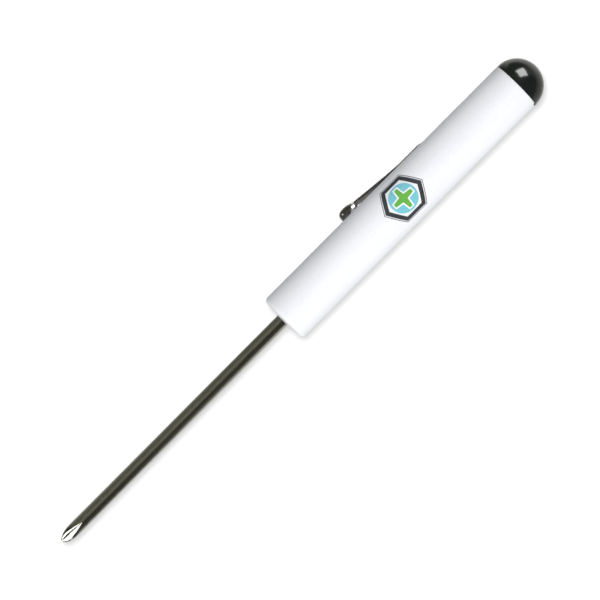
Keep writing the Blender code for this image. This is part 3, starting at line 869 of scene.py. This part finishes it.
def area_light(name, direction, distance, size, power, **visible):
    """A square soft box at a distance in metres from the middle of the tool, and turned to face it."""
    data = bpy.data.lights.new(name, "AREA")
    data.shape = "SQUARE"
    data.size = size
    data.energy = power
    light = bpy.data.objects.new(name, data)
    aim = Vector((DOME_X / 2 * MM, 0, 0))
    away = Vector(direction).normalized()
    light.location = aim + away * distance
    light.rotation_euler = away.to_track_quat("Z", "Y").to_euler()
    for key, value in visible.items():
        setattr(light, "visible_" + key, value)
    collection.objects.link(light)
    return light


def link_light(light, floor, state):
    """Let a light reach only the table, or everything but the table."""
    group = bpy.data.collections.new(light.name + "_link")
    group.objects.link(floor)
    light.light_linking.receiver_collection = group
    group.collection_objects[0].light_linking.link_state = state


def make_lights(floor):
    """A soft box overhead for the object, one for its shadow, and small ones seen in reflections."""
    key_tilt = math.radians(15)
    key = area_light("overhead_box", (0, -math.sin(key_tilt), math.cos(key_tilt)),
                     distance=1.2, size=0.34, power=8.6, glossy=False)
    link_light(key, floor, "EXCLUDE")
    side = area_light("side_box", (0, -0.94, 0.34), distance=1.2, size=0.34, power=1.3, glossy=False)
    link_light(side, floor, "EXCLUDE")
    shadow_tilt = math.radians(8)
    shadow = area_light("shadow_box", (0.04, math.sin(shadow_tilt), math.cos(shadow_tilt)),
                        distance=1.2, size=0.34, power=20.0, glossy=False)
    link_light(shadow, floor, "INCLUDE")

    # The square highlight on the dome, then the light in the flutes of the point.
    # They are moved along by half a tool, so that each one faces its own end.
    half_length = Vector((DOME_X / 2 * MM, 0, 0))
    window = area_light("window_box", (0.76, 0.358, 0.542),
                        distance=1.0, size=0.62, power=14.0, diffuse=False)
    window.location += half_length
    window.rotation_euler.rotate_axis("Z", math.radians(45))
    for name, direction in (("left", (-0.40, 0.78, 0.47)), ("right", (-0.34, -0.93, 0.03))):
        flute = area_light("flute_box_" + name, direction, distance=1.0, size=0.24, power=1.15, diffuse=False)
        flute.location -= half_length


def ramp_node(tree, stops):
    """A colour ramp from (angle in degrees, brightness), where angles run from -180 to 180."""
    node = tree.nodes.new("ShaderNodeValToRGB")
    elements = node.color_ramp.elements
    while len(elements) < len(stops):
        elements.new(0.5)
    for element, (angle, value) in zip(elements, stops):
        element.position = (angle + 180) / 360
        blue_share = 0.80 if value < 0.25 else 0.97     # the dim parts of the room are warmer
        element.color = (value, value, value * blue_share, 1)
    return node


def make_world():
    """A studio with a bright table side: one look for reflections, a soft gradient for diffuse light.

    x, y and z are the parts of a direction: along the tool to its dome, to the clip's side, and up.
    """
    world = bpy.data.worlds.new("studio")
    bpy.context.scene.world = world
    world.use_nodes = True
    world.cycles.sampling_method = "NONE"
    tree = world.node_tree
    tree.nodes.clear()

    def calculate(operation, *values):
        return math_node(tree, operation, *values)

    def product(*values):
        """All the values multiplied together."""
        result = values[0]
        for value in values[1:]:
            result = calculate("MULTIPLY", result, value)
        return result

    def band(source, low, high):
        """0 at low, 1 at high, smooth between them."""
        node = tree.nodes.new("ShaderNodeMapRange")
        node.interpolation_type = "SMOOTHSTEP"
        node.inputs["From Min"].default_value = low
        node.inputs["From Max"].default_value = high
        tree.links.new(source, node.inputs["Value"])
        return node.outputs["Result"]

    coordinates = tree.nodes.new("ShaderNodeTexCoord")
    parts = tree.nodes.new("ShaderNodeSeparateXYZ")
    tree.links.new(coordinates.outputs["Generated"], parts.inputs[0])
    x, y, z = (parts.outputs[name] for name in "XYZ")

    # Reflections: brightness by the angle from straight up, positive towards -Y.
    # The pattern slants a little across the part of it that the blade shows.
    angle = calculate("ARCTAN2", product(y, -1.0), z)
    off_middle = calculate("ADD", x, 0.035)
    slant = product(off_middle, band(calculate("ABSOLUTE", off_middle), 0.07, 0.03))
    slanted = calculate("ADD", angle, product(slant, 9.0))
    mirror = ramp_node(tree, [
        (-180, 1.0), (-135, 0.45), (-118, 0.22), (-104, 0.19), (-85, 0.135), (-68, 0.115), (-50, 0.135),
        (-33, 0.177), (-16, 0.213), (-3, 0.17), (8, 0.08), (20, 0.045), (33, 0.04), (50, 0.042), (68, 0.045),
        (84, 0.07), (91, 0.23), (98, 0.5), (122, 0.6), (180, 0.9),
    ])
    tree.links.new(calculate("ADD", calculate("DIVIDE", slanted, 2 * math.pi), 0.5), mirror.inputs[0])

    # A faint streak that the first half of the blade shows along its darker side
    from_streak = calculate("ABSOLUTE", calculate("SUBTRACT", angle, math.radians(59)))
    streak = product(band(x, -0.058, -0.037), band(x, -0.010, -0.033), band(from_streak, math.radians(24), 0))
    reflected = mix_node(tree, streak, mirror.outputs["Color"], (0.14, 0.14, 0.12), "ADD")

    # Even grey straight ahead and behind, the bright table past the dome, and a dark spot past the point
    ends = band(calculate("ABSOLUTE", x), 0.9, 1.0)
    reflected = mix_node(tree, ends, reflected, (0.4, 0.4, 0.4))
    table_edge = product(calculate("ADD", product(y, 0.28), 0.12), band(x, 0.25, 0.45))
    below_edge = band(calculate("ADD", z, table_edge), 0.0, -0.18)
    past_dome = product(band(x, 0.1, 0.4), below_edge, band(y, -0.5, 0.1))
    reflected = mix_node(tree, past_dome, reflected, (1.05, 1.05, 1.0))
    past_point = product(band(x, -0.5, -0.7), band(y, 0.1, -0.1))
    reflected = mix_node(tree, past_point, reflected, (0.08, 0.08, 0.065))

    # Diffuse light: an even fill with a gradient, brightest above, behind the point and towards -Y
    slopes = calculate("ADD", product(x, -0.38), calculate("ADD", product(y, -0.10), product(z, 0.03)))
    fill = calculate("ADD", slopes, 0.49)
    fill_colour = tree.nodes.new("ShaderNodeCombineColor")
    tree.links.new(fill, fill_colour.inputs["Red"])
    tree.links.new(fill, fill_colour.inputs["Green"])
    tree.links.new(product(fill, 1.02), fill_colour.inputs["Blue"])

    path = tree.nodes.new("ShaderNodeLightPath")
    light = mix_node(tree, path.outputs["Is Glossy Ray"], fill_colour.outputs[0], reflected)
    seen = mix_node(tree, path.outputs["Is Camera Ray"], light, (0.98, 0.98, 0.98))
    background = tree.nodes.new("ShaderNodeBackground")
    tree.links.new(seen, background.inputs["Color"])
    output = tree.nodes.new("ShaderNodeOutputWorld")
    tree.links.new(background.outputs[0], output.inputs["Surface"])


def make_camera():
    """Straight down on the tool, which runs from the lower left to the upper right."""
    roll = math.radians(-45.09)
    height = 0.92
    width_seen = 0.13632
    middle_x = 0.5047 * DOME_X * MM
    middle_y = 0.00045
    data = bpy.data.cameras.new("camera")
    data.sensor_width = 36
    data.lens = data.sensor_width * height / width_seen
    data.clip_start = 0.01
    data.clip_end = 20
    camera = bpy.data.objects.new("camera", data)
    camera.location = (middle_x, middle_y, height)
    camera.rotation_euler = (0, 0, roll)
    collection.objects.link(camera)
    bpy.context.scene.camera = camera


# ---------------------------------------------------------------- assembly

make_camera()
make_lights(make_stage())
make_world()
bpy.context.scene.view_settings.view_transform = "Standard"

barrel = make_barrel()
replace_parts(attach(barrel, "handle"), "barrel")
button = make_button()
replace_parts(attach(button, "handle"), "button_top")
blade = make_blade()
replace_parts(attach(blade, "blade"), "blade")
rivet = make_rivet()
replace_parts(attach(rivet, "handle"), "clip_rivet")
for print_film in make_mark():
    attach(print_film, "handle")

clip = make_clip()
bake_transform(clip)
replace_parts(clip, "clip_root", "clip_arm")

for node, material in (("drive_insert", INSERT), ("retaining_ring", RING)):
    frame["nodes"][node].data.materials.clear()
    frame["nodes"][node].data.materials.append(material)
